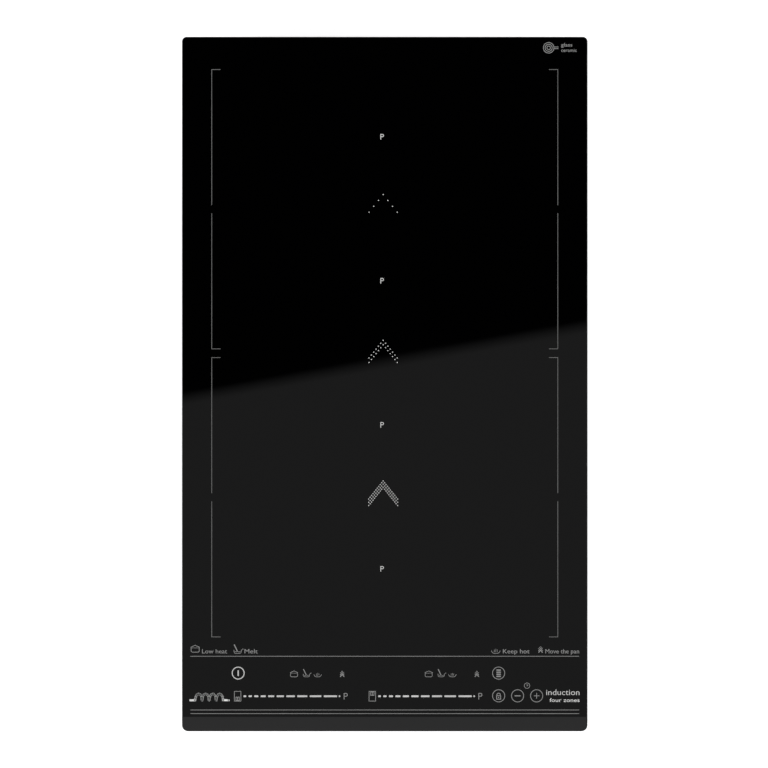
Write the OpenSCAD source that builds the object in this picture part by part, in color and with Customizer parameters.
// Built-in induction cooktop, 300 mm wide, with four slim coils under one glass plate.
// Units are millimetres. +X is to the user's right, -Y is the front edge, +Z is up.
// The origin is the centre of the footprint, on the surface that the steel pan stands on.

/* [Glass] */
// Width of the glass plate
glass_w = 300; // [298:1:304]
// Depth of the glass plate, front to rear
glass_d = 514; // [512:1:520]
// Thickness of the glass plate
glass_t = 4; // [4:0.5:5]
// Depth of the ground facet along the front edge
facet_d = 11; // [8:0.5:12]
// Height lost over the facet
facet_drop = 2.2; // [1:0.1:2.5]

/* [Body] */
// Height from the underside of the pan to the top of the glass
body_h = 60; // [58:1:64]
// Width of the steel pan
pan_w = 262; // [260:1:262]
// Sheet thickness of the pan
sheet_t = 0.8; // [0.8:0.1:1.2]

/* [Cooking zones] */
// Width of the printed cooking area
zone_w = 256.4; // [240:0.2:260]
// Depth of one printed zone bracket
zone_d = 100.7; // [98:0.1:101]
// Gap between two zone brackets
zone_gap = 6.05; // [5:0.05:7]
// Distance of the cooking area's centre behind the glass centre
zone_y = 22.8; // [22:0.1:23]

/* [Worktop clamps] */
// How far a clamp claw climbs along its screw
claw_lift = 25; // [20:1:25]
// Reach of a clamp claw from its screw
claw_reach = 30; // [24:1:32]

/* [Hidden] */
$fn = 48;

// Heights of the stack from the glass down
glass_z = body_h - glass_t;
glue_t = 1;
flange_t = 1;
flange_z = glass_z - glue_t - flange_t;
pan_top_z = flange_z - 0.5;
seal_t = 2;
insulator_t = 0.6;
insulator_z = glass_z - 0.1 - insulator_t;
winding_h = 3.2;
winding_z = insulator_z - 0.1 - winding_h;
former_t = 1.5;
former_z = winding_z - former_t;
ferrite_h = 5;
ferrite_z = former_z - ferrite_h;
carrier_t = 1.5;
carrier_z = ferrite_z - carrier_t;

// Printed ink
ink_h = 0.05;
ink_z = body_h;

// Glass corners
glass_r_rear = 3.5;
glass_r_front = 4.5;
arris = 0.5;

// Pan: it reaches nearly to the cut-out's front edge and leaves an air gap at the rear
pan_front_y = -243.5;
pan_rear_y = 240;
pan_d = pan_rear_y - pan_front_y;
pan_y = (pan_rear_y + pan_front_y) / 2;
pan_r = 5;
bead_ys = [-175, -150, -10, 15];
frame_gap = 0.1;
frame_t = 1;
frame_leg_h = 11;
frame_flange_w = 7;

// Worktop seal
seal_w = 8;
seal_inset = 1.5;

// Cooking zones and coils, numbered from the rear
zone_pitch = zone_d + zone_gap;
zone_ys = [for (i = [0:3]) zone_y + (1.5 - i) * zone_pitch];
coil_half = 70;
coil_r_in = 13;
coil_r_out = 43;
coil_turns = 9;
strip_w = 2.7;
former_r = 48;
former_hole_r = 9;
former_slot_r = 28;
former_slot_len = 14;
rim_t = 1.5;
lead_r = 1.5;
lead_points = [[-coil_half, coil_r_in], [-coil_half, coil_r_out]];
lead_wall_x = [-122.2, -126.6];
tab_x = -84;
tab_ys = [50, 43.5, 37, 30.5, -46, -54, -112, -120];

// Posts under the coil carrier
post_x = 112;
post_ys = [for (i = [0:2]) (zone_ys[i] + zone_ys[i + 1]) / 2];
post_top_z = 32;

// Fan
fan_x = 52;
fan_y = 166;
fan_z = sheet_t;
fan_h = 30;
fan_wall = 1.5;
fan_r_min = 40;
fan_r_max = 56;
fan_outlet_y = -58;
fan_tongue_x = -6;
fan_inlet_r = 28;
fan_lid_z = fan_z + fan_h - fan_wall;
impeller_r = 36;
hub_r = 17;
shaft_r = 1.5;
bearing_r = 1.55;

// Power board and filter board
board_t = 1.6;
board_z = 10.8;
board_top = board_z + board_t;
board_w = 196;
board_d = 188;
board_y = -36;
filter_x = -59;
filter_y = 122;
filter_w = 90;
filter_d = 86;
sink_x = 22;
sink_y = -35;
sink_w = 48;
sink_d = 154;
sink_z = board_top + 5;
sink_h = 22.6;
duct_gap = 1.5;
duct_wall = 1.5;
duct_top = 42;

// Terminal box in the rear wall, with its hinged cover and the cable inlet
box_x0 = -118;
box_x1 = -18;
box_depth = 43;
box_z0 = 4.1;
box_h = 35.8;
box_wall = 2;
bezel_t = 1.2;
cover_x0 = -116;
cover_x1 = -42;
cover_y = pan_rear_y + bezel_t + 0.3;
hinge_r = 1.5;
hinge_y = cover_y + hinge_r;
hinge_z = 39.4;
cover_pin_r = 1;
inlet_x = -32;
inlet_z = 18;
inlet_r = 6;
wire_xs = [-88, -78, -68];
wire_z = board_top + 6;

// Worktop clamps as [side, end]: side -1 is left, end -1 is front
clamp_x = 136;
clamp_y = 165;
clamp_z0 = 3.2;
clamp_sheet = 1.2;
claw_h = 9;
claw_t = 2;
claw_boss_r = 3.3;
screw_r = 2;
screw_hole_r = 2.07;
screw_head_h = 2.5;
claw_gap = 0.3;
claw_z = clamp_z0 + clamp_sheet + claw_gap;
claw_top_gap = 1.1;
clamp_z1 = claw_z + claw_h + claw_lift + claw_top_gap + clamp_sheet;
CLAMPS = [[-1, -1], [1, -1], [-1, 1], [1, 1]];

// Control unit under the front of the glass
ctl_y0 = -237;
ctl_y1 = -199;
ctl_y = (ctl_y0 + ctl_y1) / 2;
ctl_w = 240;
ctl_d = ctl_y1 - ctl_y0;
ctl_floor_z = 49;
ctl_board_z = 52;
ctl_leg_z = 22;
ctl_legs = [for (x = [-104, 104], y = [-229, -207]) [x, y]];
ribbon_end_y = -129.5;
rule_half = 144;
rule_ys = [-201.2, -240.9, -243.5];
row_low_y = -230.7;
row_high_y = -214;
slider_x = [-104.4, -4.8];
symbols_x = 37.3;
symbols_y = row_low_y + 16.6;
symbol_steps = [0, 9.2, 17.5, 35.6];
key_x = [84.2, 98.2, 112.3];
power_x = -108.4;
key_r = 4.5;

// ---------------------------------------------------------------- shared shapes

// Flat rectangle with round corners, centred on x and y
module rounded_rect(w, d, r) {
    square([w - 2 * r, d], center = true);
    square([w, d - 2 * r], center = true);
    for (x = [-1, 1], y = [-1, 1])
        translate([x * (w / 2 - r), y * (d / 2 - r)]) circle(r);
}

// Standing ring between two rounded rectangles
module rect_ring(w, d, r, wall, h) {
    difference() {
        linear_extrude(h) rounded_rect(w, d, r);
        translate([0, 0, -1])
            linear_extrude(h + 2) rounded_rect(w - 2 * wall, d - 2 * wall, max(r - wall, 0.5));
    }
}

// Flat shape with two straight sides and two round ends
module racetrack(half, r) {
    square([2 * half, 2 * r], center = true);
    for (s = [-1, 1]) translate([s * half, 0]) circle(r);
}

// Plate with a racetrack outline
module racetrack_plate(half, r, h) {
    linear_extrude(h) racetrack(half, r);
}

// Slot through a plate, along x, with round ends
module slot_x(len, w, h) {
    cube([len - w, w, h], center = true);
    for (s = [-1, 1]) translate([s * (len - w) / 2, 0, 0]) cylinder(r = w / 2, h = h, center = true);
}

// Straight piece of wire from a to b, eight-sided, reaching past its ends by the given lengths
module wire_run(a, b, r, before = 0, after = 0) {
    d = b - a;
    len = norm(d);
    translate(a)
        rotate([0, acos(d[2] / len), atan2(d[1], d[0])])
            translate([0, 0, -before])
                rotate(22.5) cylinder(r = r, h = len + before + after, $fn = 8);
}

// Wire with square bends through a list of points
module wire(points, r) {
    reach = r * cos(22.5);
    last = len(points) - 2;
    for (i = [0:last])
        wire_run(points[i], points[i + 1], r, i > 0 ? reach : 0, i < last ? reach : 0);
}

// Compression spring as one closed tube along a helix
module helix_spring(r, wire_r, turns, h) {
    sides = 6;
    per_turn = 10;
    n = turns * per_turn;
    pts = [
        for (i = [0:n], k = [0:sides - 1])
            let (a = 360 * i / per_turn, b = 360 * k / sides, rr = r + wire_r * cos(b))
            [rr * cos(a), rr * sin(a), wire_r + (h - 2 * wire_r) * i / n + wire_r * sin(b)]
    ];
    walls = [
        for (i = [0:n - 1], k = [0:sides - 1])
            let (k2 = (k + 1) % sides)
            [i * sides + k, i * sides + k2, (i + 1) * sides + k2, (i + 1) * sides + k]
    ];
    start = [for (k = [sides - 1:-1:0]) k];
    end = [for (k = [0:sides - 1]) n * sides + k];
    polyhedron(points = pts, faces = concat(walls, [start, end]));
}

// Pan head of a cross-slot screw, standing on z = 0, with its shank below
module cross_screw(head_r, head_h, shank_r, shank_len) {
    difference() {
        cylinder(r = head_r, h = head_h);
        for (a = [0, 90])
            rotate(a) translate([0, 0, head_h]) cube([head_r * 1.1, 0.9, head_h], center = true);
    }
    translate([0, 0, -shank_len]) cylinder(r = shank_r, h = shank_len, $fn = 24);
}

// ---------------------------------------------------------------- glass

// Outline of the glass, with its own front and rear corner radius
module glass_outline() {
    w = glass_w / 2;
    d = glass_d / 2;
    translate([-w, -d + glass_r_front]) square([2 * w, 2 * d - glass_r_front - glass_r_rear]);
    translate([-w + glass_r_front, -d]) square([2 * (w - glass_r_front), d]);
    translate([-w + glass_r_rear, 0]) square([2 * (w - glass_r_rear), d]);
    for (s = [-1, 1]) {
        translate([s * (w - glass_r_front), -d + glass_r_front]) circle(glass_r_front);
        translate([s * (w - glass_r_rear), d - glass_r_rear]) circle(glass_r_rear);
    }
}

// Glass-ceramic plate with the facet along its front edge
module glass_top() {
    color("#121214")
        difference() {
            translate([0, 0, glass_z]) linear_extrude(glass_t) glass_outline();
            translate([0, -glass_d / 2 + facet_d, body_h])
                rotate([atan(facet_drop / facet_d), 0, 0])
                    translate([-glass_w, -glass_d, 0]) cube([2 * glass_w, glass_d, 10]);
            for (s = [-1, 1])
                translate([s * glass_w / 2, 0, body_h])
                    rotate([0, s * 45, 0]) cube([3, glass_d + 20, arris * 1.414], center = true);
            translate([0, glass_d / 2, body_h])
                rotate([-45, 0, 0]) cube([glass_w + 20, 3, arris * 1.414], center = true);
        }
}

// ---------------------------------------------------------------- printing on the glass

// Printed line from a to b
module ink_line(a, b, w) {
    d = b - a;
    translate([a[0], a[1], 0])
        rotate(atan2(d[1], d[0])) translate([0, -w / 2, 0]) cube([norm(d), w, ink_h]);
}

// Printed line through a list of points
module ink_path(points, w) {
    for (i = [0:len(points) - 2]) ink_line(points[i], points[i + 1], w);
    for (i = [1:len(points) - 2])
        translate([points[i][0], points[i][1], 0]) cylinder(r = w / 2, h = ink_h, $fn = 8);
}

// Printed ring
module ink_ring(r, w) {
    difference() {
        cylinder(r = r + w / 2, h = ink_h);
        translate([0, 0, -1]) cylinder(r = r - w / 2, h = ink_h + 2);
    }
}

// Printed outline of a box
module ink_box(w, d, line) {
    difference() {
        translate([-w / 2, -d / 2, 0]) cube([w, d, ink_h]);
        translate([-w / 2 + line, -d / 2 + line, -1]) cube([w - 2 * line, d - 2 * line, 2]);
    }
}

// Letter P, centred, for the boost level
module ink_p(h, w) {
    bowl = h * 0.28;
    translate([-bowl, 0, 0]) {
        ink_line([0, -h / 2], [0, h / 2], w);
        ink_line([0, h / 2 - w / 2], [bowl, h / 2 - w / 2], w);
        ink_line([0, h / 2 - 2 * bowl + w / 2], [bowl, h / 2 - 2 * bowl + w / 2], w);
        translate([bowl, h / 2 - bowl, 0])
            intersection() {
                ink_ring(bowl - w / 2, w);
                translate([0, -h, -1]) cube([h, 2 * h, 3]);
            }
    }
}

// One zone's side bracket: a long line with optional ticks at its ends
module zone_bracket(side, tick_rear, tick_front) {
    line = 0.4;
    tick = 6.5;
    x = side * zone_w / 2;
    ink_line([x, -zone_d / 2], [x, zone_d / 2], line);
    if (tick_rear) ink_line([x + side * line / 2, zone_d / 2 - line / 2],
                            [x - side * tick, zone_d / 2 - line / 2], line);
    if (tick_front) ink_line([x + side * line / 2, -zone_d / 2 + line / 2],
                             [x - side * tick, -zone_d / 2 + line / 2], line);
}

// Arrow head of dots: rows of dots that fall away from an apex on both sides
module dot_arrow(steps, dx, dy, rows, row_drop) {
    for (row = [0:rows - 1], i = [-steps:steps])
        translate([i * dx, -abs(i) * dy - row * row_drop, 0]) cylinder(r = 0.45, h = ink_h, $fn = 8);
}

// Brackets, boost letters and dotted arrows of the cooking area
module zone_marks() {
    mark_x = -1.2;
    color("#c9c9c6") translate([0, 0, ink_z]) {
        for (i = [0:3], side = [-1, 1])
            translate([0, zone_ys[i], 0]) zone_bracket(side, i % 2 == 0, i % 2 == 1);
        for (y = zone_ys) translate([mark_x - 0.6, y, 0]) ink_p(4.9, 0.5);
        translate([mark_x, 140.5, 0]) dot_arrow(3, 3.47, 4.36, 1, 0);
        translate([mark_x, 32.5, 0]) dot_arrow(6, 1.74, 2.18, 2, 3.3);
        translate([mark_x, -71.5, 0]) dot_arrow(10, 1.07, 1.34, 3, 2.54);
    }
}

// Length of dash i on a slider: each dash is longer than the one before
function dash_len(i) = 1.9 + 0.45 * i + 0.048 * i * i;
dash_gap = 1.8;
function dash_x(i) = i == 0 ? 0 : dash_x(i - 1) + dash_len(i - 1) + dash_gap;

// Slider: ten growing dashes, a closing dot and the boost letter
module ink_slider() {
    for (i = [0:9]) translate([dash_x(i), -0.65, 0]) cube([dash_len(i), 1.3, ink_h]);
    translate([dash_x(10) - 0.7, -0.65, 0]) cube([1.3, 1.3, ink_h]);
    translate([dash_x(10) + 4.2, 0, 0]) ink_p(5, 0.5);
}

// Pot with a lid, for low boiling
module icon_pot() {
    ink_path([[-3, 0.9], [-3, -2], [-2.4, -2.6], [2.4, -2.6], [3, -2], [3, 0.9]], 0.4);
    ink_path([[-3.3, 0.9], [-1, 2], [0, 2.6], [1, 2], [3.3, 0.9]], 0.4);
    ink_line([-3, 0.5], [3, 0.5], 0.25);
}

// Pan with a stirring spoon, for melting
module icon_melt() {
    ink_path([[-2.8, 0], [-2.6, -2], [-1.8, -2.6], [1.8, -2.6], [2.6, -2], [2.8, 0]], 0.35);
    ink_path([[2.8, -0.2], [3.6, 0.6], [4.4, 0.6]], 0.35);
    ink_line([-2.6, 4], [0, -1.4], 0.7);
    ink_path([[-2.2, -1], [-1, -1.6], [0, -1], [1.2, -1.7], [2.2, -1]], 0.35);
}

// Dish with rising warmth, for keeping food warm
module icon_warm() {
    ink_path([[-3.3, -0.6], [-2.6, -1.9], [-1.5, -2.6], [1.5, -2.6], [2.6, -1.9], [3.3, -0.6]], 0.35);
    for (x = [-1.1, 0, 1.1]) ink_line([x, -1.6], [x, x == 0 ? 0.7 : 0.2], 0.3);
}

// Three stacked arrow heads, for moving a pan between power levels
module icon_arrows() {
    for (i = [0:2])
        translate([0, 0.6 - i * 1.5, 0]) ink_path([[-1.7, -1.2], [0, 0.8], [1.7, -1.2]], 0.3 + 0.2 * i);
}

// Outline of the hob with one of its halves filled
module icon_half(front) {
    ink_box(5.2, 7.6, 0.4);
    translate([0, front ? -1.9 : 1.9, 0]) {
        ink_box(2.9, 2.9, 0.45);
        ink_line([0, -1.2], [0, 1.2], 0.5);
    }
}

// Padlock, for the child lock
module icon_lock() {
    translate([0, -1, 0]) ink_box(2.7, 2.4, 0.4);
    translate([0, 0.6, 0])
        intersection() {
            ink_ring(1.3, 0.4);
            translate([-3, -0.5, -1]) cube([6, 6, 3]);
        }
    translate([0, -1, 0]) cylinder(r = 0.35, h = ink_h, $fn = 8);
}

// The three function symbols and the arrows of one slider
module function_symbols() {
    icon_pot();
    translate([symbol_steps[1], 0, 0]) icon_melt();
    translate([symbol_steps[2], 0, 0]) icon_warm();
    translate([symbol_steps[3], 0, 0]) icon_arrows();
}

// Rules, sliders and key symbols of the control strip
module control_marks() {
    color("#c9c9c6") translate([0, 0, ink_z]) {
        for (y = rule_ys) ink_line([-rule_half, y], [rule_half, y], 0.42);
        for (i = [0, 1]) translate([slider_x[i], row_low_y, 0]) {
            ink_slider();
            translate([-4.4, 0, 0]) icon_half(i == 0);
            translate([symbols_x, symbols_y - row_low_y, 0]) function_symbols();
        }
        translate([power_x, row_high_y, 0]) {
            ink_ring(key_r, 0.7);
            ink_line([0, -2.2], [0, 2.2], 1.1);
        }
        translate([key_x[0], row_high_y, 0]) {
            ink_ring(key_r, 0.5);
            for (i = [0:3]) translate([-1.7, -2.9 + i * 1.55, 0]) cube([3.4, 1.1, ink_h]);
        }
        for (x = key_x) translate([x, row_low_y, 0]) ink_ring(key_r, 0.5);
        translate([key_x[0], row_low_y, 0]) icon_lock();
        translate([key_x[1], row_low_y, 0]) ink_line([-2.2, 0], [2.2, 0], 0.8);
        translate([key_x[2], row_low_y, 0]) {
            ink_line([-2.1, 0], [2.1, 0], 0.5);
            ink_line([0, -2.1], [0, 2.1], 0.5);
        }
        translate([105.2, -222.9, 0]) {
            ink_ring(2.1, 0.4);
            ink_path([[0, 1.1], [0, -0.2], [0.9, 0.4]], 0.35);
        }
        translate([-140.2, -195.8, 0]) icon_pot();
        translate([-108.8, -196.4, 0]) icon_melt();
        translate([82.1, -196.4, 0]) icon_warm();
        translate([115.2, -195.2, 0]) icon_arrows();
    }
}

// ---------------------------------------------------------------- frame and seals

// Foam seal that lies on the worktop, stuck under the glass edge
module worktop_seal() {
    color("#1c1c1e")
        translate([0, 0, glass_z - seal_t])
            rect_ring(glass_w - 2 * seal_inset, glass_d - 2 * seal_inset, 3, seal_w, seal_t);
}

// Silicone bead between the frame and the glass
module glass_adhesive() {
    color("#2b2b2d")
        translate([0, pan_y, glass_z - glue_t]) rect_ring(pan_w, pan_d, pan_r, 4, glue_t);
}

// Places its children at the side screws, with +z pointing out of the wall
module at_frame_screws() {
    for (s = [-1, 1], y = [-205, 5, 215])
        translate([s * (pan_w / 2 + frame_gap + frame_t), y, flange_z - 5]) rotate([0, s * 90, 0]) children();
    for (x = [-80, 80]) {
        translate([x, pan_front_y - frame_gap - frame_t, flange_z - 5]) rotate([90, 0, 0]) children();
        translate([x, pan_rear_y + frame_gap + frame_t, flange_z - 5]) rotate([-90, 0, 0]) children();
    }
}

// Steel frame bonded under the glass: a flange for the glue and a leg round the pan
module mounting_frame() {
    grow = 2 * (frame_gap + frame_t);
    color("#3a3b3d")
        difference() {
            translate([0, pan_y, 0]) {
                translate([0, 0, flange_z - frame_leg_h])
                    rect_ring(pan_w + grow, pan_d + grow, pan_r + grow / 2, frame_t, frame_leg_h);
                translate([0, 0, flange_z])
                    rect_ring(pan_w + grow, pan_d + grow, pan_r + grow / 2, frame_flange_w, flange_t);
            }
            at_frame_screws() cylinder(r = 1.8, h = 5, center = true, $fn = 24);
        }
}

// Self-cutting screws that hold the pan to the frame
module frame_screws() {
    color("silver") at_frame_screws() cross_screw(3.2, 2, 1.7, 7);
}

// ---------------------------------------------------------------- steel pan

// Pressed stiffening bead in the floor, hollow from below
module floor_bead(len) {
    rotate([0, 90, 0]) cylinder(r = 2.6, h = len, center = true, $fn = 24);
    for (s = [-1, 1]) translate([s * len / 2, 0, 0]) sphere(2.6, $fn = 24);
}

// Inside of the stiffening bead
module floor_bead_hollow(len) {
    rotate([0, 90, 0]) cylinder(r = 1.8, h = len, center = true, $fn = 24);
    for (s = [-1, 1]) translate([s * len / 2, 0, 0]) sphere(1.8, $fn = 24);
}

// Intake grille under the fan: three rings of slots
module fan_grille() {
    for (ring = [[11, 6, 6.5], [17.5, 12, 6.5], [25, 18, 6.5]], k = [0:ring[1] - 1])
        rotate(360 * (k + 0.5) / ring[1])
            translate([ring[0], 0, 0]) rotate(90) slot_x(ring[2], 2.6, 6);
}

// Slots in the floor and the walls, screw holes and the terminal window
module pan_cuts() {
    translate([fan_x, fan_y, 0]) fan_grille();
    for (i = [-8:8]) translate([i * 9, -217, 0]) rotate(90) slot_x(26, 3.6, 6);
    for (s = [-1, 1], group = [-95, 95], i = [-4:4])
        translate([s * pan_w / 2, group + i * 8, 24]) rotate([0, 90, 0]) slot_x(20, 3.2, 6);
    for (i = [0:9])
        translate([20 + i * 8, pan_rear_y, 24]) rotate([0, 90, 90]) slot_x(20, 3.2, 6);
    for (i = [-6:6])
        translate([i * 12, pan_front_y, 22]) rotate([0, 90, 90]) slot_x(20, 3.2, 6);
    at_frame_screws() cylinder(r = 1.75, h = 8, center = true, $fn = 24);
    translate([box_x0 + 0.2, pan_rear_y - 5, box_z0 - 0.1])
        cube([box_x1 - box_x0 - 0.4, 10, box_h + 0.2]);
}

// Deep-drawn steel pan that closes the cooktop from below
module base_pan() {
    color("#b9bcc0")
        difference() {
            union() {
                difference() {
                    translate([0, pan_y, 0]) linear_extrude(pan_top_z) rounded_rect(pan_w, pan_d, pan_r);
                    translate([0, pan_y, sheet_t])
                        linear_extrude(pan_top_z)
                            rounded_rect(pan_w - 2 * sheet_t, pan_d - 2 * sheet_t, pan_r - sheet_t);
                }
                intersection() {
                    for (y = bead_ys) translate([0, y, 0]) floor_bead(150);
                    translate([-100, -200, 0]) cube([200, 250, 10]);
                }
            }
            pan_cuts();
            for (y = bead_ys) translate([0, y, 0]) floor_bead_hollow(150);
        }
}

// ---------------------------------------------------------------- induction coils

// Plastic former of one coil: plate, two rims, and a bridge for the sensor
module coil_former(y) {
    color("#2a2c2e")
        translate([0, y, former_z])
            difference() {
                union() {
                    racetrack_plate(coil_half, former_r, former_t);
                    difference() {
                        racetrack_plate(coil_half, former_r, former_t + winding_h);
                        translate([0, 0, -1]) racetrack_plate(coil_half, former_r - rim_t, 20);
                    }
                    racetrack_plate(coil_half, former_hole_r + rim_t, former_t + winding_h);
                }
                difference() {
                    translate([0, 0, -1]) racetrack_plate(coil_half, former_hole_r, 20);
                    translate([-9, -20, 0]) cube([18, 40, former_t]);
                }
                translate([0, 0, -1]) cylinder(r = 3.1, h = 20, $fn = 32);
                for (p = lead_points) translate([p[0], p[1], -1]) cylinder(r = 1.6, h = 5, $fn = 24);
                for (s = [-1, 1], a = [-60:30:60])
                    rotate(s > 0 ? 0 : 180) translate([coil_half, 0, -1])
                        rotate(a) translate([former_slot_r, 0, 0]) slot_x(former_slot_len, 3, 8);
            }
}

// Centre line of a winding, shifted sideways by off: half-turns on alternate ends of the racetrack
function coil_line(off) = [
    for (h = [0:2 * coil_turns - 1], k = [0:12])
        let (
            a = 90 + 180 * h + 15 * k,
            r = coil_r_in + (coil_r_out - coil_r_in) * (a - 90) / (360 * coil_turns) + off,
            side = h % 2 == 0 ? -1 : 1
        )
        [side * coil_half + r * cos(a), r * sin(a)]
];

// Litz winding: one flat strip wound into a racetrack spiral
module coil_winding(y) {
    inner = coil_line(-strip_w / 2);
    outer = coil_line(strip_w / 2);
    back = [for (k = [len(inner) - 1:-1:0]) inner[k]];
    color("#b87333")
        translate([0, y, winding_z]) linear_extrude(winding_h) polygon(concat(outer, back));
}

// Ferrite bars under the coils that steer their field
module coil_ferrites() {
    bar = 33;
    color("#4a4a4c")
        for (y = zone_ys) translate([0, y, ferrite_z]) {
            for (x = [-60, -20, 20, 60], s = [-1, 1])
                translate([x - 6, s > 0 ? 12 : -12 - bar, 0]) cube([12, bar, ferrite_h]);
            for (s = [-1, 1])
                translate([s > 0 ? 82 : -82 - bar, -5, 0]) cube([bar, 10, ferrite_h]);
        }
}

// Mica sheets between the windings and the glass
module coil_insulators() {
    color("#d8cfb8")
        for (y = zone_ys)
            translate([0, y, insulator_z])
                difference() {
                    racetrack_plate(coil_half, former_r - 1, insulator_t);
                    translate([0, 0, -1]) cylinder(r = 6, h = 5);
                }
}

// Temperature sensors that touch the glass in the middle of each coil
module coil_sensors() {
    color("#e8e4dc")
        for (y = zone_ys)
            translate([0, y, 0]) {
                translate([0, 0, former_z - 4]) cylinder(r = 3, h = 4 + former_t, $fn = 32);
                translate([0, 0, former_z + former_t])
                    cylinder(r = 5, h = glass_z - 0.1 - former_z - former_t);
            }
}

// Route of one lead: out above the carrier, down beside it, along the wall and over to its tab
function lead_route(i, k) =
    let (
        p = lead_points[k],
        y = zone_ys[i] + p[1],
        wall_x = lead_wall_x[k],
        out_z = ferrite_z + 2.5,
        run_z = (i % 2 == 0 ? 25.5 : 32.5) + 3.5 * k,
        tab_y = tab_ys[2 * i + k]
    )
    [
        [p[0], y, winding_z], [p[0], y, out_z], [wall_x, y, out_z], [wall_x, y, run_z],
        [wall_x, tab_y, run_z], [tab_x, tab_y, run_z], [tab_x, tab_y, board_top + 10]
    ];

// Insulated litz leads from the coils to the power board
module coil_leads() {
    color("#a33b2e") for (i = [0:3], k = [0:1]) wire(lead_route(i, k), lead_r);
}

// Aluminium sheet that carries the four coils
module coil_carrier() {
    color("#c4c7ca")
        difference() {
            translate([0, zone_y + 0.5, carrier_z])
                linear_extrude(carrier_t) rounded_rect(238, 4 * zone_pitch - 4, 4);
            for (s = [-1, 1], y = post_ys)
                translate([s * post_x, y, carrier_z - 1]) cylinder(r = 2.6, h = 5, $fn = 32);
            for (y = zone_ys) {
                translate([0, y, carrier_z]) cylinder(r = 8, h = 10, center = true);
                for (x = [-40, 0, 40], s = [-1, 1])
                    translate([x, y + s * 26, carrier_z]) rotate(90) slot_x(26, 8, 10);
            }
            for (y = post_ys, x = [-80:40:80]) translate([x, y, carrier_z]) slot_x(26, 4, 10);
        }
}

// Plastic posts that guide the carrier
module carrier_posts() {
    color("#e4e4e0")
        for (s = [-1, 1], y = post_ys)
            translate([s * post_x, y, sheet_t]) {
                cylinder(r = 5, h = post_top_z - sheet_t);
                cylinder(r = 2.4, h = carrier_z + carrier_t + 2 - sheet_t, $fn = 32);
            }
}

// Springs that press the coil carrier and the control unit up against the glass
module support_springs() {
    color("silver") {
        for (s = [-1, 1], y = post_ys)
            translate([s * post_x, y, post_top_z]) helix_spring(3.6, 0.5, 3, carrier_z - post_top_z);
        for (p = ctl_legs)
            translate([p[0], p[1], sheet_t]) helix_spring(4.6, 0.6, 4, ctl_leg_z - sheet_t);
    }
}

// ---------------------------------------------------------------- power electronics

// Places its children at the fixing holes of the power board and the filter board
module at_board_holes() {
    for (x = [-93, 93], y = [-125, -36, 53]) translate([x, y, 0]) children();
    for (x = [-99, -19], y = [84, 160]) translate([x, y, 0]) children();
}

// Bare board of the power stage
module power_board() {
    color("#2f6b3c")
        difference() {
            translate([-board_w / 2, board_y - board_d / 2, board_z]) cube([board_w, board_d, board_t]);
            at_board_holes() translate([0, 0, board_z - 1]) cylinder(r = 1.6, h = 5, $fn = 24);
        }
}

// Bare filter board
module filter_board() {
    color("#2f6b3c")
        difference() {
            translate([filter_x - filter_w / 2, filter_y - filter_d / 2, board_z])
                cube([filter_w, filter_d, board_t]);
            at_board_holes() translate([0, 0, board_z - 1]) cylinder(r = 1.6, h = 5, $fn = 24);
        }
}

// Spacers under the boards with the screws on top of them
module board_spacers() {
    color("#e4e4e0")
        at_board_holes() {
            difference() {
                translate([0, 0, sheet_t]) cylinder(r = 4, h = board_z - sheet_t, $fn = 6);
                translate([0, 0, board_z - 6.5]) cylinder(r = 1.55, h = 8, $fn = 24);
            }
        }
    color("silver") at_board_holes() translate([0, 0, board_top]) cross_screw(2.8, 2, 1.5, board_t + 6);
}

// Finned aluminium heat sink
module heat_sink() {
    fins = 9;
    fin_t = 1.6;
    color("#aeb2b6")
        translate([sink_x - sink_w / 2, sink_y - sink_d / 2, sink_z]) {
            cube([sink_w, sink_d, 5]);
            for (i = [0:fins - 1])
                translate([i * (sink_w - fin_t) / (fins - 1), 0, 0]) cube([fin_t, sink_d, sink_h]);
        }
}

// Power transistors clamped between the board and the heat sink, with their pins
module power_transistors() {
    color("#1d1d1f")
        for (s = [-1, 1], i = [0:3]) {
            y = sink_y - 60 + i * 30;
            translate([sink_x + s * 12 - 10, y, board_top]) cube([20, 16, sink_z - board_top]);
            for (k = [-1:1])
                translate([sink_x + s * 22, y + 8 + k * 5.4, board_top])
                    translate([s > 0 ? 0 : -3, -0.6, 0]) {
                        translate([0, 0, 2]) cube([3, 1.2, 0.6]);
                        translate([s > 0 ? 2.4 : 0, 0, 0]) cube([0.6, 1.2, 2.3]);
                    }
        }
}

// Bridge rectifier under the rear end of the heat sink
module bridge_rectifier() {
    color("#1d1d1f")
        translate([sink_x - 15, sink_y + sink_d / 2 - 18, board_top]) {
            cube([30, 17, sink_z - board_top]);
            for (i = [0:3]) translate([3 + i * 7.6, 17, 0]) cube([1.2, 4, 2.4]);
        }
}

// Film capacitor: a moulded box with two short legs moulded in
module film_capacitor(w, d, h) {
    difference() {
        translate([-w / 2, -d / 2, 0]) cube([w, d, h]);
        for (s = [-1, 1])
            translate([s * w / 2, 0, h]) rotate([0, 45, 0]) cube([1.4, d + 2, 1.4], center = true);
    }
}

// Resonant and bus capacitors of the power board
module film_capacitors() {
    color("#d9d4c0") {
        for (i = [0:3]) translate([72, -108 + i * 34, board_top]) film_capacitor(32, 26, 22);
        for (i = [0:1]) translate([-30, -70 + i * 34, board_top]) film_capacitor(34, 24, 28);
    }
}

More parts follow.
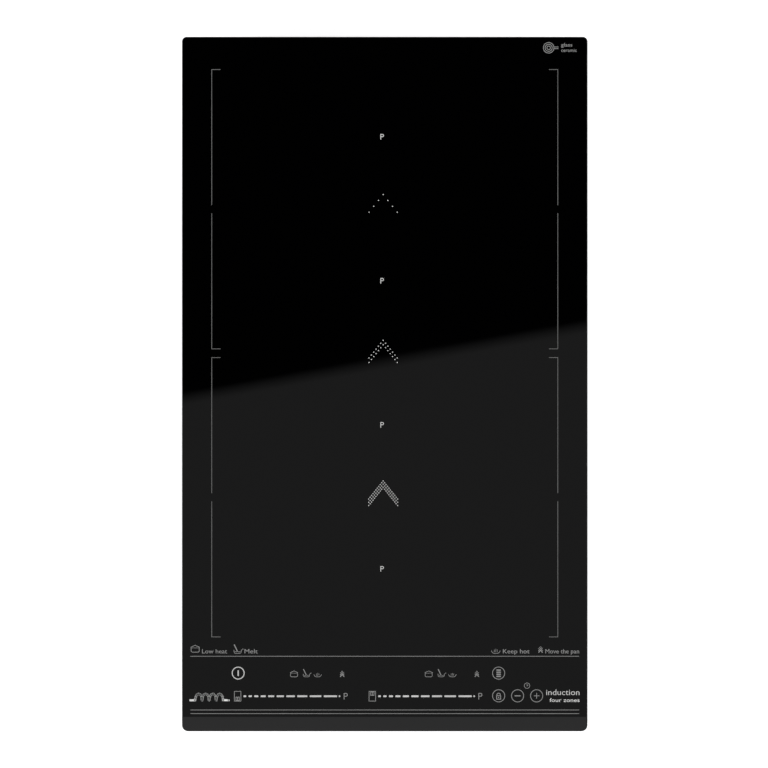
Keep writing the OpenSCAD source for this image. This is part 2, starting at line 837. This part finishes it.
// Ring core choke with its turns
module smoothing_choke() {
    core_r = 15;
    core_w = 6;
    color("#b87333")
        translate([-62, 4, board_top + core_w + 1.8]) {
            rotate_extrude() translate([core_r, 0]) square([2 * core_w, 2 * core_w - 3], center = true);
            for (k = [0:15])
                rotate(360 * k / 16)
                    translate([core_r, 0, 0])
                        rotate([90, 0, 0]) difference() {
                            cube([2 * core_w + 3.4, 2 * core_w + 0.4, 1.5], center = true);
                            cube([2 * core_w + 0.4, 2 * core_w - 2.6, 4], center = true);
                        }
        }
}

// Relays, controller, driver chips and small capacitors of the power board
module board_components() {
    color("#1d1d1f") {
        for (i = [0:1]) translate([-76, -41 - i * 26, board_top]) cube([22, 17, 16]);
        translate([-36, -112, board_top]) cube([16, 16, 1.6]);
        for (i = [0:3]) translate([-12, -96 + i * 26, board_top]) cube([5, 9, 2.2]);
        translate([58, ribbon_end_y, board_top]) cube([24, 7, 8]);
        for (y = [49, 80]) translate([-80, y, board_top]) cube([26, 8, 11]);
        translate([-94, 154, board_top]) cube([32, 8, 11]);
    }
    color("#3b4a66")
        for (p = [[-60, -112], [-72, -112], [-84, -100], [-64, 36], [-46, 36], [-14, 30]])
            translate([p[0], p[1], board_top]) cylinder(r = 4, h = 14, $fn = 32);
}

// Blade tabs that take the coil leads
module lead_terminals() {
    color("#c9b458")
        for (y = tab_ys) translate([tab_x - 3.15, y - 0.4, board_top]) cube([6.3, 0.8, 10]);
}

// Common-mode choke: two windings on one closed core
module filter_choke() {
    translate([-42, 118, board_top + 10]) {
        color("#4a4a4c")
            difference() {
                cube([34, 30, 12], center = true);
                cube([18, 14, 20], center = true);
            }
        color("#b87333")
            for (s = [-1, 1])
                translate([s * 13, 0, 0])
                    difference() {
                        cube([13.6, 12, 20], center = true);
                        cube([8.4, 14, 12.4], center = true);
                    }
    }
}

// Suppression capacitors and fuse of the filter board
module filter_capacitors() {
    color("#e0c24a") {
        translate([-84, 106, board_top]) film_capacitor(26, 13, 19);
        translate([-84, 124, board_top]) film_capacitor(26, 13, 19);
    }
    color("#d8d8d8") translate([-100, 143, board_top + 3.5]) {
        rotate([0, 90, 0]) cylinder(r = 3, h = 6, $fn = 24);
        translate([6, 0, 0]) rotate([0, 90, 0]) cylinder(r = 2.6, h = 20, $fn = 24);
        translate([26, 0, 0]) rotate([0, 90, 0]) cylinder(r = 3, h = 6, $fn = 24);
    }
}

// Mains wires: terminal block to filter board, and filter board to power board
module mains_wires() {
    block_y = pan_rear_y - box_depth + 10;
    color("#4d6fa8") {
        for (x = wire_xs) wire_run([x, 162, wire_z], [x, block_y, wire_z], 1.6);
        for (x = [-74, -62]) wire_run([x, 57, wire_z], [x, 80, wire_z], 1.6);
    }
}

// ---------------------------------------------------------------- fan and air path

// Outline of the fan's spiral casing, grown outwards by g: a spiral from the tongue, then the outlet
function scroll(g, outlet_y) =
    let (a0 = 270 + asin((fan_tongue_x + g) / (fan_r_min + g)))
    concat(
        [
            for (k = [0:30])
                let (
                    a = a0 + (540 - a0) * k / 30,
                    r = fan_r_min + (fan_r_max - fan_r_min) * k / 30 + g
                )
                [r * cos(a), r * sin(a)]
        ],
        [[-fan_r_max - g, outlet_y], [fan_tongue_x + g, outlet_y]]
    );

// Spiral casing of the blower, with the inlet in its floor
module fan_housing() {
    color("#26282a")
        translate([fan_x, fan_y, fan_z])
            difference() {
                linear_extrude(fan_h - fan_wall) polygon(scroll(fan_wall, fan_outlet_y));
                translate([0, 0, fan_wall]) linear_extrude(fan_h) polygon(scroll(0, fan_outlet_y - 5));
                translate([0, 0, -1]) cylinder(r = fan_inlet_r, h = 5, $fn = 96);
            }
}

// Lid of the blower
module fan_cover() {
    color("#303234")
        translate([fan_x, fan_y, fan_lid_z])
            linear_extrude(fan_wall) polygon(scroll(fan_wall, fan_outlet_y));
}

// Stator and bearing tube that hang from the lid
module fan_motor() {
    color("#b87333")
        translate([fan_x, fan_y, 0])
            difference() {
                union() {
                    translate([0, 0, 11]) cylinder(r = 4.5, h = fan_lid_z - 11);
                    for (k = [0:5])
                        rotate(60 * k) {
                            translate([3, -2, 12]) cube([10, 4, 10]);
                            translate([11.4, -4.5, 12]) cube([2, 9, 10]);
                            translate([6, -3.6, 12.8]) cube([4.6, 7.2, 8.4]);
                        }
                }
                translate([0, 0, 9]) cylinder(r = bearing_r, h = fan_lid_z);
            }
}

// Impeller: cup over the motor, disc, blades and lower ring, on its shaft
module fan_impeller() {
    blades = 30;
    disc_z = 23.5;
    ring_z = 4.5;
    color("#3c3e41")
        translate([fan_x, fan_y, 0]) {
            cylinder_from_to(shaft_r, 7, 28);
            difference() {
                cylinder_from_to(hub_r, 7, disc_z + 1.2);
                cylinder_from_to(hub_r - 1.5, 8.6, 40);
            }
            cylinder_from_to(4.2, 7, 10.4);
            tube_from_to(impeller_r, hub_r - 1, disc_z, disc_z + 1.2);
            tube_from_to(impeller_r, impeller_r - 8.5, ring_z, ring_z + 1.2);
            for (k = [0:blades - 1])
                rotate(360 * k / blades)
                    translate([impeller_r - 4.4, 0, (ring_z + disc_z) / 2 + 0.6])
                        rotate(28) cube([7.6, 0.9, disc_z - ring_z], center = true);
        }
}

// Round bar between two heights
module cylinder_from_to(r, z0, z1) {
    translate([0, 0, z0]) cylinder(r = r, h = z1 - z0);
}

// Round tube between two heights
module tube_from_to(r_out, r_in, z0, z1) {
    difference() {
        cylinder_from_to(r_out, z0, z1);
        cylinder_from_to(r_in, z0 - 1, z1 + 1);
    }
}

// Plastic duct that leads the fan's air through the heat sink's fins
module air_duct() {
    w = sink_w + 2 * duct_gap;
    w_out = w + 2 * duct_wall;
    y0 = sink_y - sink_d / 2 - 4;
    y1 = board_y + board_d / 2 + 1;
    y2 = fan_y + fan_outlet_y - 0.3;
    color("#26282a")
        translate([sink_x - w / 2, 0, 0])
            difference() {
                union() {
                    translate([-duct_wall, y0, board_top]) cube([w_out, y1 - y0, duct_top - board_top]);
                    translate([-duct_wall, y1, sheet_t]) cube([w_out, y2 - y1, duct_top - sheet_t]);
                }
                translate([0, y0 - 1, board_top - 1])
                    cube([w, y2 - y0 + 2, duct_top - duct_wall - board_top + 1]);
                translate([0, y1 + duct_wall, 0]) cube([w, y2, duct_top - duct_wall]);
            }
}

// ---------------------------------------------------------------- control unit

// Plastic tray under the control board, on four legs that stand on springs
module control_carrier() {
    rim = 1.2;
    color("#232527") {
        difference() {
            union() {
                translate([0, ctl_y, ctl_floor_z]) linear_extrude(6) rounded_rect(ctl_w, ctl_d, 2);
                for (p = ctl_legs)
                    translate([p[0], p[1], 0]) {
                        cylinder_from_to(6, ctl_leg_z, ctl_floor_z + 0.5);
                        cylinder_from_to(3, ctl_leg_z - 12, ctl_leg_z + 1);
                    }
            }
            translate([0, ctl_y, ctl_floor_z + 1.5])
                linear_extrude(8) rounded_rect(ctl_w - 2 * rim, ctl_d - 2 * rim, 1);
            translate([58, -208, ctl_floor_z - 1]) cube([24, 6, 5]);
            for (x = [-60:30:30]) translate([x, ctl_y, ctl_floor_z]) slot_x(20, 8, 10);
        }
        for (x = [-110, -45, 15, 45, 110], y = [-234, -201.8])
            translate([x - 1, y - 1, ctl_floor_z + 1.5]) cube([2, 2, ctl_board_z - ctl_floor_z - 1.5]);
    }
}

// Touch control board
module control_board() {
    gap = 1.6;
    color("#2f6b3c")
        translate([-ctl_w / 2 + gap, ctl_y0 + gap, ctl_board_z])
            cube([ctl_w - 2 * gap, ctl_d - 2 * gap, board_t]);
}

// Conductive pads between the board and the glass, one under each key and dash
module touch_pads() {
    h = glass_z - 0.1 - ctl_board_z - board_t;
    color("#8a8c8e")
        translate([0, 0, ctl_board_z + board_t]) {
            for (x = key_x) translate([x, row_low_y, 0]) cylinder(r = 4, h = h);
            for (x = [power_x, key_x[0]]) translate([x, row_high_y, 0]) cylinder(r = 4, h = h);
            for (i = [0, 1]) {
                for (k = [0:9])
                    translate([slider_x[i] + dash_x(k), row_low_y - 4, 0]) cube([dash_len(k) + 0.6, 3, h]);
                for (x = symbol_steps)
                    translate([slider_x[i] + symbols_x + x, symbols_y, 0]) cylinder(r = 3, h = h);
            }
        }
}

// Light bars behind the dashes and the two timer digits
module display_modules() {
    h = glass_z - 0.2 - ctl_board_z - board_t;
    color("#e8e8e6")
        translate([0, 0, ctl_board_z + board_t]) {
            for (i = [0, 1]) translate([slider_x[i], row_low_y - 0.8, 0]) cube([dash_x(10), 4.5, h]);
            for (x = [97, 105]) translate([x, row_high_y - 4, 0]) cube([7, 9, h]);
        }
}

// Points of a flat line moved sideways by s, with mitred bends
function shifted_line(line, s) = [
    for (i = [0:len(line) - 1])
        let (
            before = i > 0 ? line[i] - line[i - 1] : line[1] - line[0],
            after = i < len(line) - 1 ? line[i + 1] - line[i] : before,
            u = before / norm(before),
            v = after / norm(after)
        )
        line[i] + s * [-(u[1] + v[1]), u[0] + v[0]] / (1 + u * v)
];

// Flat cable from the control board to the power board
module ribbon_cable() {
    t = 0.9;
    w = 20;
    line = [[-205, ctl_board_z], [-205, 34], [-196, 22], [-184, 17.5], [ribbon_end_y, 17.5]];
    last = len(line) - 1;
    upper = shifted_line(line, t / 2);
    lower = shifted_line(line, -t / 2);
    color("#9a9c9e")
        translate([60, 0, 0]) rotate([90, 0, 90])
            linear_extrude(w)
                polygon(concat(upper, [for (i = [last:-1:0]) lower[i]]));
}

// ---------------------------------------------------------------- mains connection

// Terminal box set into the rear wall, with its bezel, hinge ears and cable inlet
module terminal_box() {
    w = box_x1 - box_x0 - 0.6;
    x0 = box_x0 + 0.3;
    y1 = pan_rear_y;
    y0 = y1 - box_depth;
    inside = [x0 + box_wall, y0 + box_wall, box_z0 + box_wall];
    inside_h = box_h - 2 * box_wall;
    color("#2c2e30")
        difference() {
            union() {
                translate([x0, y0, box_z0]) cube([w, box_depth, box_h]);
                translate([x0 - 1.3, y1, 2]) cube([w + 2.6, bezel_t, 39.4]);
                for (x = [cover_x0 - 3.2, cover_x1 + 0.4])
                    translate([x, y1, hinge_z - 2.2]) cube([2.8, hinge_y - y1 + 2, 4.2]);
                translate([inlet_x, y1, inlet_z]) rotate([-90, 0, 0]) cylinder(r = 9, h = 5, $fn = 64);
            }
            translate(inside) cube([cover_x1 - box_x0 - 3, box_depth + 5, inside_h]);
            translate(inside) cube([w - 2 * box_wall, box_depth - 2 * box_wall, inside_h]);
            translate([inlet_x, y1 - 4, inlet_z]) rotate([-90, 0, 0]) cylinder(r = inlet_r, h = 12, $fn = 64);
            translate([cover_x0 - 5, hinge_y, hinge_z])
                rotate([0, 90, 0]) cylinder(r = cover_pin_r + 0.06, h = 90, $fn = 32);
            for (x = wire_xs)
                translate([x, y0 - 1, wire_z]) rotate([-90, 0, 0]) cylinder(r = 1.8, h = 5, $fn = 24);
        }
}

// Five-pole terminal block with its clamp screws facing the rear
module terminal_block() {
    pitch = 11;
    h = 24;
    translate([-108, pan_rear_y - box_depth + 10, box_z0 + box_wall]) {
        color("#e6e2d6")
            difference() {
                cube([5 * pitch, 20, h]);
                for (i = [0:4])
                    translate([pitch * (i + 0.5), 24, h / 2]) rotate([90, 0, 0]) cylinder(r = 3.6, h = 10);
                for (i = [1:4]) translate([pitch * i - 0.8, 12, 4]) cube([1.6, 10, 30]);
            }
        color("#c9b458")
            for (i = [0:4])
                translate([pitch * (i + 0.5), 14, h / 2]) rotate([-90, 0, 0])
                    difference() {
                        cylinder(r = 3, h = 4);
                        translate([0, 0, 4]) cube([5, 0.8, 2], center = true);
                    }
    }
}

// One half of the strain relief: a block with the cord's groove and holes that start above z0
module clamp_half(z0, z1, hole_start) {
    difference() {
        translate([-11, -4, z0]) cube([22, 8, z1 - z0]);
        translate([0, 0, inlet_z]) rotate([90, 0, 0]) cylinder(r = inlet_r + 0.2, h = 20, center = true);
        for (s = [-1, 1]) translate([s * 8.8, 0, z0 + hole_start]) cylinder(r = 1.55, h = 20, $fn = 24);
    }
}

// Strain relief inside the box: a cradle, a bar and two screws
module cord_clamp() {
    bar_top = inlet_z + 9;
    translate([inlet_x, 222, 0]) {
        color("#3a3c3e") clamp_half(box_z0 + box_wall, inlet_z - 1, 3);
        color("#3a3c3e") clamp_half(inlet_z + 2, bar_top, -1);
        color("silver")
            for (s = [-1, 1]) translate([s * 8.8, 0, bar_top]) cross_screw(1.9, 1.6, 1.5, 15);
    }
}

// Hinged cover of the terminal box, on two pin stubs
module terminal_cover() {
    w = cover_x1 - cover_x0;
    low_z = 5.4;
    color("#2c2e30")
        difference() {
            union() {
                translate([cover_x0, cover_y, low_z]) cube([w, 1.8, hinge_z - low_z]);
                translate([cover_x0, hinge_y, hinge_z])
                    rotate([0, 90, 0]) cylinder(r = hinge_r, h = w, $fn = 32);
                translate([cover_x0 - 2.6, hinge_y, hinge_z])
                    rotate([0, 90, 0]) cylinder(r = cover_pin_r, h = w + 5.2, $fn = 32);
                for (x = [-100, -64]) translate([x, cover_y + 1.8, 7]) cube([6, 0.8, 5]);
            }
            for (i = [0:5]) translate([cover_x0 + 22 + i * 6, cover_y + 1.2, 14]) cube([2, 3, 18]);
        }
}

// ---------------------------------------------------------------- worktop clamps

// Places its children on a clamp's screw axis, with +x pointing away from the pan
module at_clamp(c) {
    translate([c[0] * clamp_x, c[1] * clamp_y, 0]) rotate(c[0] > 0 ? 0 : 180) children();
}

// Folded steel brackets riveted to the pan's long walls
module clamp_brackets() {
    back = clamp_x - pan_w / 2;
    reach = 3.6;
    color("#b9bcc0")
        for (c = CLAMPS)
            at_clamp(c) {
                difference() {
                    union() {
                        translate([-back, -10, clamp_z0]) cube([clamp_sheet, 20, clamp_z1 - clamp_z0]);
                        for (z = [clamp_z0, clamp_z1 - clamp_sheet])
                            translate([-back, -8, z]) cube([back + reach, 16, clamp_sheet]);
                    }
                    cylinder(r = screw_hole_r, h = 100, $fn = 48);
                }
                for (y = [-7, 7], z = [14, 30])
                    translate([-back + clamp_sheet, y, z])
                        rotate([0, 90, 0]) cylinder(r = 2, h = 0.8, $fn = 24);
            }
}

// Clamp screw: head below the lower lug, staked end above the upper one
module clamp_screw(c) {
    z = clamp_z0 - 0.1;
    color("silver")
        at_clamp(c) {
            difference() {
                cylinder_from_to(3.5, z - screw_head_h, z);
                for (a = [0, 90])
                    rotate(a) translate([0, 0, z - screw_head_h]) cube([4.4, 1, 2.4], center = true);
            }
            cylinder_from_to(screw_r, z, clamp_z1 + 0.2);
            cylinder_from_to(2.7, clamp_z1 + 0.2, clamp_z1 + 1.2);
        }
}

// Claw: toothed bar on a boss that runs along the screw
module clamp_claw(c) {
    color("#8f9296")
        at_clamp(c)
            translate([0, 0, claw_z])
                difference() {
                    union() {
                        cylinder(r = claw_boss_r, h = claw_h);
                        translate([-claw_t / 2, -claw_reach, 0]) cube([claw_t, claw_reach, claw_h]);
                    }
                    translate([0, 0, -1]) cylinder(r = screw_hole_r, h = claw_h + 2);
                    for (k = [0:4])
                        translate([0, -claw_reach + 2 + k * 3, claw_h])
                            rotate([45, 0, 0]) cube([5, 1.4, 1.4], center = true);
                    translate([0, -claw_reach, 0]) rotate([30, 0, 0]) cube([5, 14, 5], center = true);
                }
}

glass_top();
zone_marks();
control_marks();
worktop_seal();
glass_adhesive();
mounting_frame();
base_pan();
frame_screws();
coil_former(zone_ys[0]);  // coil_former_1
coil_former(zone_ys[1]);  // coil_former_2
coil_former(zone_ys[2]);  // coil_former_3
coil_former(zone_ys[3]);  // coil_former_4
coil_winding(zone_ys[0]);  // coil_winding_1
coil_winding(zone_ys[1]);  // coil_winding_2
coil_winding(zone_ys[2]);  // coil_winding_3
coil_winding(zone_ys[3]);  // coil_winding_4
coil_ferrites();
coil_insulators();
coil_sensors();
coil_leads();
coil_carrier();
carrier_posts();
support_springs();
power_board();
filter_board();
board_spacers();
heat_sink();
power_transistors();
bridge_rectifier();
film_capacitors();
smoothing_choke();
board_components();
lead_terminals();
filter_choke();
filter_capacitors();
mains_wires();
fan_housing();
fan_cover();
fan_motor();
fan_impeller();
air_duct();
control_carrier();
control_board();
touch_pads();
display_modules();
ribbon_cable();
terminal_box();
terminal_block();
cord_clamp();
terminal_cover();
clamp_brackets();
clamp_screw(CLAMPS[0]);  // clamp_screw_front_left
clamp_screw(CLAMPS[1]);  // clamp_screw_front_right
clamp_screw(CLAMPS[2]);  // clamp_screw_rear_left
clamp_screw(CLAMPS[3]);  // clamp_screw_rear_right
clamp_claw(CLAMPS[0]);  // clamp_claw_front_left
clamp_claw(CLAMPS[1]);  // clamp_claw_front_right
clamp_claw(CLAMPS[2]);  // clamp_claw_rear_left
clamp_claw(CLAMPS[3]);  // clamp_claw_rear_right
